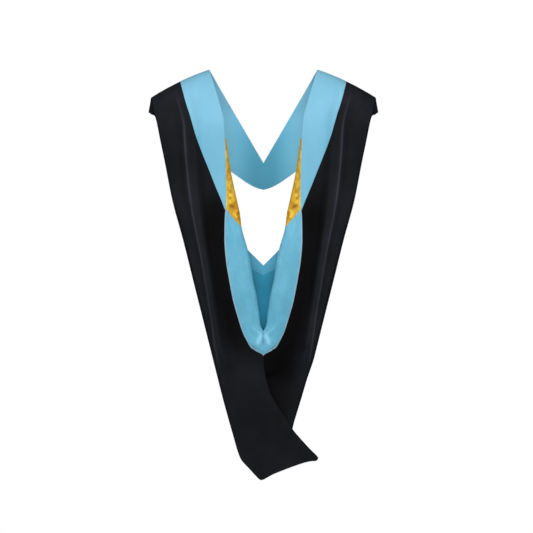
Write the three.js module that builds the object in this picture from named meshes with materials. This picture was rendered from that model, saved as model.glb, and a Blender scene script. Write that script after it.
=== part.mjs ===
// Academic hood, seen from the wearer's back when looked at along +Y. Lengths in millimetres, +Z up.
// The origin lies midway between the two points where the hood crosses the sides of the neck.
// Each side of the hood is a set of cloth sheets, and the right side mirrors the left down to the tail.

import * as THREE from "three";

// Overall sizes
const hoodLength = 1029.5; // neck points down to the lowest point of the tail
const shoulderSpan = 563; // across the two shoulder tips
const neckSpan = 271; // across the two neck points
const shoulderFall = 70; // drop from a neck point to a shoulder tip
const capLength = 34.5; // free edge of the chest panel below the shoulder tip
const capFlare = 6.3; // how far the free edge leans outwards
const notchDrop = 112.5; // where the long outer fold begins
const trimWidth = 78; // light blue band, across the chest strap
const trimLength = 345; // neck points down to the point of the band on the back
const chestDrop = 232; // neck points down to the inner corner of the chest V
const strapDepth = 67; // strap along its seam at the centre of the chest
const cowlLength = 713; // neck points down to the bottom of the blue opening
const goldLength = 349; // neck points down to the gold and blue seam at the crease
const goldSlant = 46; // how much lower that seam ends at the roll's edge
const hemDrop = 490; // neck points down to the V of the under layer
const pinchDrop = 655; // where the two rolls of lining meet
const tipDrop = 971; // neck points down to the tip of the turned tail
const tailReach = 139; // centre plane out to that tip
const cowlDepth = 110; // ridge of the shoulders back to the fullest part of the back
const chestDepth = 66; // shoulder ridge forwards to where the chest begins
const chestSlope = 0.3; // how fast the chest panel leans forwards below that
const archHeight = 46; // drop over which the cloth turns over the shoulder

// Cloth
const shellThickness = 1.6;
const trimThickness = 2.2;
const liningThickness = 1;
const clearance = 0.3; // between neighbouring pieces of cloth
const foldRadius = 8.5; // of the long outer fold where the cowl is fullest
const hemRadius = 2.2; // of a turned hem and of the tail's flat edge
const hemTurn = 9; // width of cloth turned under along a free edge
const rollWidth = 15; // how far the roll of lining curves round
const rollHeight = 9; // half the height of that roll
const liningTuck = 8; // lining hidden under the edge of the shell
const liningEase = 3.5; // slack between shell and lining inside the cowl
const pleatHeight = 5; // soft standing fold down each black panel
const pleatPlace = 0.62; // its place from crease to outer fold
const pleatSpread = 0.09;

const halfShoulder = shoulderSpan / 2;
const halfNeck = neckSpan / 2;
const tailLength = hoodLength - cowlLength;

// Inner edge of the back: shares of cowlLength down, and of halfNeck out from the centre.
const creaseRows = [
  { drop: 0, out: 1 },
  { drop: 0.052, out: 0.911 },
  { drop: 0.132, out: 0.79 },
  { drop: 0.163, out: 0.745 },
  { drop: 0.202, out: 0.725 },
  { drop: 0.317, out: 0.697 },
  { drop: 0.457, out: 0.688 },
  { drop: 0.527, out: 0.714 },
  { drop: 0.597, out: 0.718 },
  { drop: 0.668, out: 0.69 },
  { drop: 0.738, out: 0.631 },
  { drop: 0.808, out: 0.561 },
  { drop: 0.878, out: 0.469 },
  { drop: 0.919, out: 0.413 },
  { drop: 0.948, out: 0.321 },
  { drop: 0.976, out: 0.221 },
  { drop: 1, out: 0.002 },
];

// Long outer fold: shares of hoodLength down, and of halfShoulder out.
const foldRows = [
  { drop: 0.068, out: 1 },
  { drop: 0.109, out: 0.969 },
  { drop: 0.122, out: 0.949 },
  { drop: 0.171, out: 0.913 },
  { drop: 0.219, out: 0.877 },
  { drop: 0.317, out: 0.806 },
  { drop: 0.414, out: 0.71 },
  { drop: 0.511, out: 0.622 },
  { drop: 0.608, out: 0.533 },
  { drop: 0.705, out: 0.444 },
  { drop: 0.802, out: 0.355 },
  { drop: 0.899, out: 0.256 },
  { drop: 0.923, out: 0.231 },
  { drop: 0.946, out: 0.199 },
  { drop: 0.969, out: 0.126 },
  { drop: 1, out: 0.022 },
];

// Band on the back: shares of trimLength down, and of trimWidth out from the crease to its seam.
const seamRows = [
  { drop: 0.1, band: 1.068 },
  { drop: 0.133, band: 1.083 },
  { drop: 0.22, band: 1.09 },
  { drop: 0.307, band: 1.077 },
  { drop: 0.438, band: 0.97 },
  { drop: 0.583, band: 0.776 },
  { drop: 0.728, band: 0.538 },
  { drop: 0.872, band: 0.292 },
  { drop: 1, band: 0.05 },
];

// Edge of the roll of lining: shares of pinchDrop down, and of halfNeck out.
const rollRows = [
  { drop: 0.26, out: 0.69 },
  { drop: 0.386, out: 0.605 },
  { drop: 0.496, out: 0.494 },
  { drop: 0.547, out: 0.439 },
  { drop: 0.608, out: 0.399 },
  { drop: 0.68, out: 0.3 },
  { drop: 0.727, out: 0.247 },
  { drop: 0.803, out: 0.199 },
  { drop: 0.879, out: 0.125 },
  { drop: 0.956, out: 0.095 },
  { drop: 1, out: 0.006 },
];

// Hem of the under layer: shares of hemDrop down, and of halfShoulder out.
const hemRows = [
  { drop: 0.23, out: 0.969 },
  { drop: 0.49, out: 0.8 },
  { drop: 0.704, out: 0.497 },
  { drop: 0.908, out: 0.16 },
  { drop: 1, out: 0 },
];

// Depths behind the shoulder ridge, as shares of cowlDepth, against shares of hoodLength down.
const creaseDepthRows = [
  { drop: 0, depth: 0 },
  { drop: 0.004, depth: 0.22 },
  { drop: 0.014, depth: 0.38 },
  { drop: 0.031, depth: 0.52 },
  { drop: 0.058, depth: 0.64 },
  { drop: 0.097, depth: 0.74 },
  { drop: 0.146, depth: 0.82 },
  { drop: 0.219, depth: 0.9 },
  { drop: 0.335, depth: 0.965 },
  { drop: 0.45, depth: 1 },
  { drop: 0.53, depth: 1 },
  { drop: 0.602, depth: 0.95 },
  { drop: 0.692, depth: 0.86 },
  { drop: 0.777, depth: 0.76 },
  { drop: 0.874, depth: 0.66 },
  { drop: 0.943, depth: 0.57 },
  { drop: 1, depth: 0.54 },
];
const foldDepthRows = [
  { drop: 0.068, depth: 0 },
  { drop: 0.072, depth: 0.2 },
  { drop: 0.081, depth: 0.35 },
  { drop: 0.093, depth: 0.45 },
  { drop: 0.109, depth: 0.52 },
  { drop: 0.132, depth: 0.565 },
  { drop: 0.166, depth: 0.59 },
  { drop: 0.29, depth: 0.61 },
  { drop: 0.432, depth: 0.61 },
  { drop: 0.602, depth: 0.59 },
  { drop: 0.692, depth: 0.565 },
  { drop: 0.8, depth: 0.53 },
  { drop: 0.9, depth: 0.49 },
  { drop: 1, depth: 0.475 },
];
const underDepthRows = [
  { drop: 0.109, depth: 0.5 },
  { drop: 0.166, depth: 0.5 },
  { drop: 0.29, depth: 0.43 },
  { drop: 0.432, depth: 0.46 },
  { drop: 0.515, depth: 0.49 },
  { drop: 0.692, depth: 0.465 },
  { drop: 0.9, depth: 0.425 },
  { drop: 1, depth: 0.45 },
];

// The tail, row by row. fold and ridge: shares of the way down from the cowl's bottom, the fold to
// the lowest point and the ridge to the tip. reach: share of tailReach that the ridge lies to the
// right. tuck: share of tailReach that the right panel runs back under the left one. rightFold:
// share of halfShoulder out to the right panel's fold. tuckFall, foldFall: shares of the way from
// the ridge's drop to the fold's drop.
const tailRows = [
  { fold: 0, ridge: 0, reach: 0, tuck: 0, rightFold: 0.456, tuckFall: 0.1, foldFall: 1 },
  { fold: 0.111, ridge: 0.112, reach: 0, tuck: 0, rightFold: 0.417, tuckFall: 0.1, foldFall: 1 },
  { fold: 0.18, ridge: 0.182, reach: 0.022, tuck: 0.04, rightFold: 0.39, tuckFall: 0.2, foldFall: 1 },
  { fold: 0.338, ridge: 0.349, reach: 0.104, tuck: 0.11, rightFold: 0.337, tuckFall: 0.2, foldFall: 1 },
  { fold: 0.464, ridge: 0.496, reach: 0.252, tuck: 0.2, rightFold: 0.294, tuckFall: 0.2, foldFall: 1 },
  { fold: 0.558, ridge: 0.601, reach: 0.388, tuck: 0.28, rightFold: 0.263, tuckFall: 0.3, foldFall: 1 },
  { fold: 0.672, ridge: 0.717, reach: 0.514, tuck: 0.33, rightFold: 0.24, tuckFall: 0.4, foldFall: 0.9 },
  { fold: 0.751, ridge: 0.826, reach: 0.683, tuck: 0.43, rightFold: 0.225, tuckFall: 0.5, foldFall: 0.72 },
  { fold: 0.899, ridge: 0.922, reach: 0.849, tuck: 0.54, rightFold: 0.205, tuckFall: 0.6, foldFall: 0.62 },
  { fold: 1, ridge: 1, reach: 1, tuck: 0.62, rightFold: 0.2, tuckFall: 0.62, foldFall: 0.6 },
];

// Chest strap from its centre seam outwards to the corner of its lower edge. upper: share of the
// upper edge. out: share of the corner's distance out. fall: share of the way from the corner down
// to the bottom of the centre seam.
const strapRows = [
  { upper: 0, out: 0, fall: 1 },
  { upper: 0.015, out: 0.197, fall: 0.905 },
  { upper: 0.03, out: 0.473, fall: 0.657 },
  { upper: 0.045, out: 0.792, fall: 0.27 },
];
const cornerShare = 0.058; // share of the upper edge that lies square across from the corner

// Steps over the shoulder, as shares of the way from the ridge to the hem on the chest.
const chestSteps = [1, 0.84, 0.66, 0.48, 0.32, 0.19, 0.1, 0.045, 0.012];
const shoulderSteps = [0, 0.035, 0.13, 0.36, 1];

const mix = (a, b, share) => a + (b - a) * share;
const clamp01 = (value) => Math.min(1, Math.max(0, value));
const smoothStep = (value) => clamp01(value) ** 2 * (3 - 2 * clamp01(value));

// A quarter of a round arch: 0 at the crown, 1 where the cloth hangs straight down.
function arch(share) {
  return Math.sqrt(1 - (1 - clamp01(share)) ** 2);
}

// A smooth curve through the rows of a table that never overshoots them.
function curveThrough(rows, at, value) {
  const x = rows.map((row) => row[at]);
  const y = rows.map((row) => row[value]);
  const last = x.length - 1;
  const slope = [];
  for (let i = 0; i < last; i++) slope.push((y[i + 1] - y[i]) / (x[i + 1] - x[i]));
  const tangent = x.map((_, i) => {
    if (i === 0) return slope[0];
    if (i === last) return slope[last - 1];
    const flat = slope[i - 1] * slope[i] <= 0;
    return flat ? 0 : (2 * slope[i - 1] * slope[i]) / (slope[i - 1] + slope[i]);
  });
  return (where) => {
    if (where <= x[0]) return y[0];
    if (where >= x[last]) return y[last];
    let i = 0;
    while (where > x[i + 1]) i++;
    const span = x[i + 1] - x[i];
    const t = (where - x[i]) / span;
    const rise = y[i + 1] - y[i];
    const start = tangent[i] * span;
    const end = tangent[i + 1] * span;
    return y[i] + t * (start + t * (3 * rise - 2 * start - end + t * (start + end - 2 * rise)));
  };
}

const creaseShare = curveThrough(creaseRows, "drop", "out");
const foldShare = curveThrough(foldRows, "drop", "out");
const seamShare = curveThrough(seamRows, "drop", "band");
const rollShare = curveThrough(rollRows, "drop", "out");
const hemShare = curveThrough(hemRows, "drop", "out");
const creaseDepth = curveThrough(creaseDepthRows, "drop", "depth");
const foldDepth = curveThrough(foldDepthRows, "drop", "depth");
const underDepth = curveThrough(underDepthRows, "drop", "depth");
const tailRidge = curveThrough(tailRows, "fold", "ridge");
const tailReachShare = curveThrough(tailRows, "fold", "reach");
const tailTuck = curveThrough(tailRows, "fold", "tuck");
const rightFoldShare = curveThrough(tailRows, "fold", "rightFold");
const tuckFall = curveThrough(tailRows, "fold", "tuckFall");
const foldFall = curveThrough(tailRows, "fold", "foldFall");

// Outlines, each a distance out from the centre plane at a drop below the neck points.
const creaseOut = (drop) => halfNeck * creaseShare(drop / cowlLength);
const foldOut = (drop) => halfShoulder * foldShare(drop / hoodLength);
const seamOut = (drop) => creaseOut(drop) + trimWidth * seamShare(drop / trimLength);
const rollOut = (drop) => halfNeck * rollShare(drop / pinchDrop);
const hemOut = (drop) => (drop >= hemDrop ? 0 : halfShoulder * hemShare(drop / hemDrop));

// Depths, negative behind the shoulder ridge, where the back of the hood lies.
const creaseY = (drop) => -cowlDepth * creaseDepth(drop / hoodLength);
const foldY = (drop) => -cowlDepth * foldDepth(drop / hoodLength);
const underY = (drop) => -cowlDepth * underDepth(drop / hoodLength);

// How round the outer fold is: a turned hem above the notch, full down the cowl, flat in the tail.
function foldRound(drop) {
  const opening = Math.sqrt(clamp01((drop - notchDrop) / (hemDrop - notchDrop)));
  const closing = smoothStep((drop - cowlLength) / tailLength);
  return mix(hemRadius, foldRadius, opening * (1 - closing));
}

// One row of the back, from the crease to the outer fold. Its ends drop by different amounts on
// the shoulder and in the tail, and by the same amount between them.
function backRow(drop) {
  const settle = 1 - smoothStep((drop - shoulderFall) / (2 * notchDrop - shoulderFall));
  const row = {
    foldDrop: drop,
    creaseDrop: drop - shoulderFall * settle,
    creaseOut: 0,
    foldOut: foldOut(drop),
    radius: foldRound(drop),
  };
  if (drop <= cowlLength) {
    row.creaseOut = creaseOut(row.creaseDrop);
  } else {
    const tail = (drop - cowlLength) / tailLength;
    row.creaseDrop = mix(cowlLength, tipDrop, tailRidge(tail));
    row.creaseOut = clearance / 2 - tailReach * tailReachShare(tail);
  }
  row.creaseY = creaseY(row.creaseDrop);
  row.foldY = foldY(drop);
  return row;
}

// A point of the black outer face, at a share of the way from the crease to the outer fold.
function backPoint(row, share) {
  const width = row.foldOut - row.creaseOut;
  const toFold = (1 - share) * width;
  const skinFold = row.foldY - row.radius * arch(toFold / row.radius);
  const rise = row.foldY - row.radius - row.creaseY;
  const pleatStart = smoothStep((row.foldDrop - shoulderFall) / notchDrop);
  const pleatFade = pleatStart * smoothStep((tipDrop - row.foldDrop) / tailLength);
  const pleat = pleatHeight * pleatFade * Math.exp(-(((share - pleatPlace) / pleatSpread) ** 2));
  return new THREE.Vector3(
    mix(row.creaseOut, row.foldOut, share),
    skinFold - rise * (1 - share ** 2) - pleat,
    -mix(row.creaseDrop, row.foldDrop, share),
  );
}

// Share of a back row at which the band gives way to black cloth.
function seamOnRow(row) {
  let share = 0.4;
  for (let i = 0; i < 6; i++) {
    const drop = mix(row.creaseDrop, row.foldDrop, share);
    share = clamp01((seamOut(drop) - row.creaseOut) / (row.foldOut - row.creaseOut));
  }
  return share;
}

// A point of the chest: an arch over the shoulder, then a slope that leans forwards.
function chestPoint(out, drop) {
  const ridgeDrop = Math.max(0, (shoulderFall * (out - halfNeck)) / (halfShoulder - halfNeck));
  const below = Math.max(0, drop - ridgeDrop);
  const flatten = 1 - 0.35 * (out / halfShoulder) ** 2;
  const forward = chestDepth * arch(below / archHeight) + chestSlope * below;
  return new THREE.Vector3(out, forward * flatten, -drop);
}

// Levels of the rows down the back, so that one falls on each change in the outline.
function levelsBetween(from, to, count) {
  const levels = [];
  for (let i = 1; i <= count; i++) levels.push(mix(from, to, i / count));
  return levels;
}
const shoulderLevels = shoulderSteps.map((step) => mix(shoulderFall, notchDrop, step));
const trimLevels = [...shoulderLevels, ...levelsBetween(notchDrop, trimLength, 7)];
const backLevels = [
  ...trimLevels,
  trimLength + 6,
  ...levelsBetween(trimLength + 6, hemDrop, 4),
  ...levelsBetween(hemDrop, pinchDrop, 4),
  ...levelsBetween(pinchDrop, cowlLength, 3),
  ...levelsBetween(cowlLength, hoodLength, 9),
];

// The strap on the chest, drawn flat as distances out and down. Its seam with the black cloth runs
// from the shoulder ridge to the corner, which lies at the band's width from the upper edge.
const upperEdge = (share) => new THREE.Vector2(halfNeck * share, chestDrop * (1 - share));
const squareOff = new THREE.Vector2(chestDrop, halfNeck).normalize();
const chestCorner = upperEdge(cornerShare).addScaledVector(squareOff, trimWidth);
const ridgeRow = backRow(shoulderFall);
const ridgeSeam = new THREE.Vector2(
  mix(ridgeRow.creaseOut, ridgeRow.foldOut, seamOnRow(ridgeRow)),
  mix(ridgeRow.creaseDrop, ridgeRow.foldDrop, seamOnRow(ridgeRow)),
);

function chestSeam(step) {
  return new THREE.Vector2().lerpVectors(ridgeSeam, chestCorner, step);
}

// Points from one place to another round a half turn, for a fold of cloth seen in section.
function halfTurn(edge, outwards, inwards, radius, steps) {
  const centre = edge.clone().addScaledVector(outwards, -radius);
  const points = [];
  for (let i = 0; i <= steps; i++) {
    const angle = Math.PI * (i / steps - 0.5);
    points.push(
      centre
        .clone()
        .addScaledVector(outwards, radius * Math.cos(angle))
        .addScaledVector(inwards, radius * Math.sin(angle)),
    );
  }
  return points;
}

function pointsBetween(from, to, count) {
  const points = [];
  for (let i = 1; i <= count; i++) points.push(new THREE.Vector3().lerpVectors(from, to, i / count));
  return points;
}

const nearSteps = 8;
const turnSteps = 6;
const underSteps = 5;

// One row of the shell on the chest: from the strap's seam to the free edge and its turned hem.
function chestShellRow(step) {
  const seam = chestSeam(step);
  const edge = new THREE.Vector2(halfShoulder + capFlare * step, shoulderFall + capLength * step);
  const start = clearance / seam.distanceTo(edge);
  const below = capLength * step;
  const inwards = new THREE.Vector3(0, -arch(below / archHeight), -(1 - clamp01(below / archHeight)));
  inwards.normalize();
  const skin = [];
  for (let i = 0; i <= nearSteps; i++) {
    const share = mix(start, 1 - hemRadius / seam.distanceTo(edge), i / nearSteps);
    const flat = new THREE.Vector2().lerpVectors(seam, edge, share);
    skin.push(chestPoint(flat.x, flat.y));
  }
  const outwards = new THREE.Vector3(1, 0, -(edge.y - seam.y) / (edge.x - seam.x)).normalize();
  const tip = skin[nearSteps].clone().addScaledVector(inwards, hemRadius).addScaledVector(outwards, hemRadius);
  const turn = halfTurn(tip, outwards, inwards, hemRadius, turnSteps);
  const hem = turn[turnSteps].clone().addScaledVector(outwards, -hemTurn);
  return [...skin.slice(0, -1), ...turn, ...pointsBetween(turn[turnSteps], hem, underSteps)];
}

// One row of the shell on the back: outer face, outer fold and under layer.
function backShellRow(drop) {
  const row = backRow(drop);
  const width = row.foldOut - row.creaseOut;
  const inner = drop <= trimLength ? seamOnRow(row) + clearance / width : 0;
  const shoulder = clamp01((drop - shoulderFall) / archHeight);
  const inwards = new THREE.Vector3(0, arch(shoulder), -(1 - shoulder)).normalize();
  const outwards = new THREE.Vector3(width, 0, row.creaseDrop - row.foldDrop).normalize();
  const skin = [];
  for (let i = 0; i <= nearSteps; i++) {
    skin.push(backPoint(row, mix(inner, 1 - row.radius / width, i / nearSteps)));
  }
  const tip = skin[nearSteps].clone().addScaledVector(inwards, row.radius).addScaledVector(outwards, row.radius);
  const turn = halfTurn(tip, outwards, inwards, row.radius, turnSteps);
  const start = turn[turnSteps];
  const hem = start.clone().addScaledVector(outwards, -hemTurn);
  const joined = smoothStep((drop - notchDrop) / (2 * archHeight));
  const reach = Math.max(clearance / 2, Math.min(hemOut(drop), start.x - hemTurn));
  const under = new THREE.Vector3(Math.min(reach, start.x - 1), underY(drop), -drop);
  const end = hem.lerp(under, drop > notchDrop ? Math.max(joined, 0.001) : 0);
  if (drop >= hemDrop) end.x = clearance / 2;
  return [...skin.slice(0, -1), ...turn, ...pointsBetween(start, end, underSteps)];
}

// One row of the right shell's tail: it starts under the left panel's ridge, runs back under that
// panel, turns out to its own fold and returns along the under layer to the centre seam.
function rightTailRow(drop) {
  const row = backRow(drop);
  const tail = (drop - cowlLength) / tailLength;
  const behind = smoothStep(tail / tailRows[1].fold);
  const lap = smoothStep((tail - tailRows[1].fold) / tailRows[1].fold);
  const fall = (share) => -mix(row.creaseDrop, drop, share);
  const ridge = new THREE.Vector3(
    clearance - row.creaseOut - 2 * shellThickness * lap,
    row.creaseY + (shellThickness + 3 * clearance) * behind,
    fall(0.02 * lap),
  );
  const foldPlace = halfShoulder * rightFoldShare(tail);
  const turnedOut = -row.creaseOut - tailReach * tailTuck(tail);
  const tuck = new THREE.Vector3(mix(foldPlace * 0.3, turnedOut, lap), 0, fall(tuckFall(tail)));
  const leftShare = clamp01((row.creaseOut + tuck.x) / (row.creaseOut - row.foldOut));
  tuck.y = mix(backPoint(row, leftShare).y, underY(drop), 0.25 * (behind + lap));
  const skinEnd = new THREE.Vector3(foldPlace - row.radius, row.foldY - row.radius, fall(foldFall(tail)));
  const middle = tuck.clone().lerp(skinEnd, 0.5);
  middle.y -= 2 * (1 - lap);
  const path = new THREE.CatmullRomCurve3([ridge, tuck, middle, skinEnd], false, "centripetal");
  const inwards = new THREE.Vector3(0, 1, 0);
  const outwards = new THREE.Vector3(1, 0, 0);
  const tip = skinEnd.clone().addScaledVector(inwards, row.radius).addScaledVector(outwards, row.radius);
  const turn = halfTurn(tip, outwards, inwards, row.radius, turnSteps);
  const end = new THREE.Vector3(clearance / 2, underY(drop), -drop);
  return [...path.getPoints(nearSteps).slice(0, -1), ...turn, ...pointsBetween(turn[turnSteps], end, underSteps)];
}

function shellRows(side) {
  const rows = chestSteps.map(chestShellRow);
  for (const drop of backLevels) {
    rows.push(side > 0 && drop > cowlLength ? rightTailRow(drop) : backShellRow(drop));
  }
  return rows;
}

const bandSteps = 5;

// The band: strap rows from the centre of the chest, rows over the shoulder, rows down the back.
function trimRows() {
  const across = (upper, lower, surface) => {
    const row = [];
    for (let i = 0; i <= bandSteps; i++) {
      const flat = new THREE.Vector2().lerpVectors(upper, lower, i / bandSteps);
      row.push(surface(flat.x, flat.y));
    }
    return row;
  };
  const rows = [];
  for (const strap of strapRows) {
    const upper = upperEdge(strap.upper);
    const lower = new THREE.Vector2(
      chestCorner.x * strap.out,
      mix(chestCorner.y, chestDrop + strapDepth, strap.fall),
    );
    upper.x = Math.max(upper.x, clearance / 2);
    lower.x = Math.max(lower.x, clearance / 2);
    rows.push(across(upper, lower, chestPoint));
  }
  for (const step of chestSteps) {
    const upper = upperEdge(mix(1, cornerShare, step));
    rows.push(across(upper, chestSeam(step), chestPoint));
  }
  for (const drop of trimLevels) {
    const row = backRow(drop);
    const seam = seamOnRow(row);
    const line = [];
    for (let i = 0; i <= bandSteps; i++) line.push(backPoint(row, (seam * i) / bandSteps));
    rows.push(line);
  }
  return rows;
}

// One row of lining: tucked under the shell's edge, over the roll and back under it, along the
// inside of the outer face, round inside the fold, and back along the under layer.
function liningRow(creaseDrop, rollDrop, foldDrop) {
  const row = backRow(foldDrop);
  const atCrease = backRow(creaseDrop);
  const edgeY = atCrease.creaseY + shellThickness / 2 + trimThickness / 2 + clearance;
  const crease = new THREE.Vector3(atCrease.creaseOut, edgeY, -creaseDrop);
  const tuckShare = liningTuck / (atCrease.foldOut - atCrease.creaseOut);
  const tucked = backPoint(atCrease, tuckShare);
  tucked.y += edgeY - atCrease.creaseY + clearance;
  crease.y += mix(shellThickness, 0, smoothStep((cowlLength - rollDrop - clearance) / rollWidth));
  const lip = Math.max(rollOut(rollDrop), clearance / 2 + liningThickness / 2);
  const width = Math.max(2, Math.min(rollWidth, 0.85 * (crease.x - lip)));
  const proud = smoothStep((cowlLength - rollDrop - clearance) / rollWidth);
  const open = clamp01((crease.x - lip - width) / liningTuck);
  const seated = mix(shellThickness, -liningThickness * open, proud);
  const crest = new THREE.Vector3(lip + width, edgeY - atCrease.creaseY + seated, -rollDrop);
  crest.y += creaseY(Math.min(rollDrop, cowlLength));
  const swell = crease.clone().lerp(crest, 0.5);
  swell.y -= proud * Math.min(liningEase, 0.06 * Math.abs(crease.x - crest.x));
  const height = Math.min(rollHeight, 2 + 0.5 * (crease.x - lip));
  const roll = [];
  for (let i = 0; i <= 6; i++) {
    const angle = (Math.PI * i) / 6;
    roll.push(
      new THREE.Vector3(
        crest.x - width * Math.sin(angle),
        crest.y + height * (1 - Math.cos(angle)),
        -rollDrop,
      ),
    );
  }
  const rowWidth = row.foldOut - row.creaseOut;
  const radius = Math.max(liningThickness, row.radius - liningEase);
  const outwards = new THREE.Vector3(1, 0, 0);
  const inwards = new THREE.Vector3(0, 1, 0);
  const tip = backPoint(row, 1 - row.radius / rowWidth).addScaledVector(inwards, row.radius);
  tip.x = row.foldOut - liningEase;
  const inside = [0.3, 0.55, 0.78].map((share) => {
    const point = backPoint(row, share);
    point.y += liningEase + 10 * (1 - share);
    return point;
  });
  const turn = halfTurn(tip, outwards, inwards, radius, turnSteps - 2);
  const start = turn[turnSteps - 2];
  const reach = Math.max(clearance / 2, Math.min(hemOut(foldDrop), start.x - hemTurn));
  const end = new THREE.Vector3(reach, underY(foldDrop) - liningEase, -foldDrop);
  return [tucked, crease, swell, ...roll, ...inside, ...turn, ...pointsBetween(start, end, underSteps)];
}

// Levels of the lining: the crease, the roll's edge and the fold may lie at different drops.
function goldRows() {
  const top = 0.265 * pinchDrop;
  const rows = [];
  const count = 7;
  for (let i = 0; i <= count; i++) {
    const share = i / count;
    const creaseDrop = mix(top, goldLength - clearance, share);
    const rollDrop = mix(top, goldLength + goldSlant - clearance, share);
    rows.push(liningRow(creaseDrop, rollDrop, rollDrop));
  }
  return rows;
}

function blueRows() {
  const rows = [];
  const top = goldLength + goldSlant + clearance;
  const rollLevels = [
    top,
    ...levelsBetween(top, hemDrop, 3),
    ...levelsBetween(hemDrop, pinchDrop, 4),
    ...levelsBetween(pinchDrop, cowlLength - clearance, 4),
    cowlLength + liningTuck / 2,
  ];
  for (const rollDrop of rollLevels) {
    const share = (rollDrop - top) / (cowlLength - top);
    const creaseDrop = mix(goldLength + clearance, mix(pinchDrop, cowlLength, 0.66), share);
    rows.push(liningRow(creaseDrop, rollDrop, rollDrop));
  }
  return rows;
}

// Closes a grid of rows into a sheet of cloth with a given thickness, on one side of the hood.
function clothSheet(rows, thickness, side) {
  const rowCount = rows.length;
  const columnCount = rows[0].length;
  const positions = [];
  const along = new THREE.Vector3();
  const across = new THREE.Vector3();
  for (const face of [1, -1]) {
    for (let r = 0; r < rowCount; r++) {
      for (let c = 0; c < columnCount; c++) {
        along.subVectors(rows[Math.min(r + 1, rowCount - 1)][c], rows[Math.max(r - 1, 0)][c]);
        across.subVectors(rows[r][Math.min(c + 1, columnCount - 1)], rows[r][Math.max(c - 1, 0)]);
        const normal = along.cross(across).normalize();
        const point = rows[r][c].clone().addScaledVector(normal, (face * thickness) / 2);
        positions.push(side * point.x, point.y, point.z);
      }
    }
  }
  const indices = [];
  const backStart = rowCount * columnCount;
  const quad = (a, b, c, d) => indices.push(a, b, c, a, c, d);
  for (let r = 0; r + 1 < rowCount; r++) {
    for (let c = 0; c + 1 < columnCount; c++) {
      const a = r * columnCount + c;
      const b = a + columnCount;
      quad(a, b, b + 1, a + 1);
      quad(backStart + a, backStart + a + 1, backStart + b + 1, backStart + b);
    }
  }
  const rim = (a, b) => quad(a, backStart + a, backStart + b, b);
  for (let c = 0; c + 1 < columnCount; c++) {
    const bottom = (rowCount - 1) * columnCount;
    rim(c + 1, c);
    rim(bottom + c, bottom + c + 1);
  }
  for (let r = 0; r + 1 < rowCount; r++) {
    rim(r * columnCount, (r + 1) * columnCount);
    rim((r + 2) * columnCount - 1, (r + 1) * columnCount - 1);
  }
  if (side < 0) {
    for (let i = 0; i < indices.length; i += 3) {
      [indices[i + 1], indices[i + 2]] = [indices[i + 2], indices[i + 1]];
    }
  }
  const geometry = new THREE.BufferGeometry();
  geometry.setAttribute("position", new THREE.Float32BufferAttribute(positions, 3));
  geometry.setIndex(indices);
  geometry.computeVertexNormals();
  return geometry;
}

const blackCloth = { color: 0x16171a, roughness: 0.85, metalness: 0 };
const blueBand = { color: 0x82c8e4, roughness: 0.7, metalness: 0 };
const goldSatin = { color: 0xdcaf28, roughness: 0.4, metalness: 0 };
const blueSatin = { color: 0x69b7d5, roughness: 0.45, metalness: 0 };

const hood = new THREE.Group();

function addPiece(name, rows, thickness, side, look) {
  const mesh = new THREE.Mesh(clothSheet(rows, thickness, side), new THREE.MeshStandardMaterial(look));
  mesh.name = name;
  hood.add(mesh);
}

for (const [word, side] of [["left", -1], ["right", 1]]) {
  addPiece(`shell_${word}`, shellRows(side), shellThickness, side, blackCloth);
  addPiece(`trim_${word}`, trimRows(), trimThickness, side, blueBand);
  addPiece(`lining_gold_${word}`, goldRows(), liningThickness, side, goldSatin);
  addPiece(`lining_blue_${word}`, blueRows(), liningThickness, side, blueSatin);
}

export default hood;
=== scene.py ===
# Academic hood, seen from the back.
# The cloth is worked out in millimetres, drop being the distance below the neck points, and
# each mesh is made in metres at the CAD's own place.
import math

import bpy
import numpy as np
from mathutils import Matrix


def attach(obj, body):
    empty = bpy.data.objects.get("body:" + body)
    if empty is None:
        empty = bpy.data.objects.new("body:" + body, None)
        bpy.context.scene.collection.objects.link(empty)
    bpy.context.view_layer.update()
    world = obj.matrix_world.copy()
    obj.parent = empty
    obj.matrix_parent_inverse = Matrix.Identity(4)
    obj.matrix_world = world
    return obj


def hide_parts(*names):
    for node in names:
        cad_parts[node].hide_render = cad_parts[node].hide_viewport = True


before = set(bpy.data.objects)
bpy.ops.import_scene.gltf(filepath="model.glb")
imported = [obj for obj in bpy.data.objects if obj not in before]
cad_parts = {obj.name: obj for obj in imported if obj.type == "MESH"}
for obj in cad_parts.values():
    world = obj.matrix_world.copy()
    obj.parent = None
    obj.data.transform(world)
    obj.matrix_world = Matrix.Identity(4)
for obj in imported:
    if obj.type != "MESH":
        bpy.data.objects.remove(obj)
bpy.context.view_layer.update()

print("scene: CAD loaded")

# Sizes shared by all the cloth, as in the CAD
neckHalf = 135.5
shoulderHalf = 281.5
shoulderFall = 70.0
notchDrop = 112.5
trimLength = 345.0
cowlLength = 713.0
hoodLength = 1029.5
trimWidth = 78.0
chestDrop = 232.0
chestDepth = 66.0
chestSlope = 0.3
archHeight = 46.0
goldLength = 349.0
goldSlant = 46.0
pinchDrop = 655.0
hemDrop = 490.0
tipDrop = 971.0
tailReach = 139.0
tailLength = hoodLength - cowlLength
clearance = 0.3
seamGap = 0.05


def mix(a, b, share):
    return a + (b - a) * share


def clamp01(value):
    return np.clip(value, 0.0, 1.0)


def smoothStep(value):
    t = clamp01(value)
    return t * t * (3 - 2 * t)


# Smoothstep from 0 to 1 as the value runs over a span, given as its start and its length.
def easeOver(value, span):
    start, length = span
    return smoothStep((value - start) / length)


# A quarter of a round arch: sqrt(1 - (1 - share)^2), 0 at the crown and 1 where it hangs straight.
def arch(share):
    return np.sqrt(1 - (1 - clamp01(share)) ** 2)


# A Gaussian bump of height 1: exp(-((value - centre) / spread)^2).
def hump(value, centre, spread):
    return np.exp(-(((value - centre) / spread) ** 2))


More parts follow.
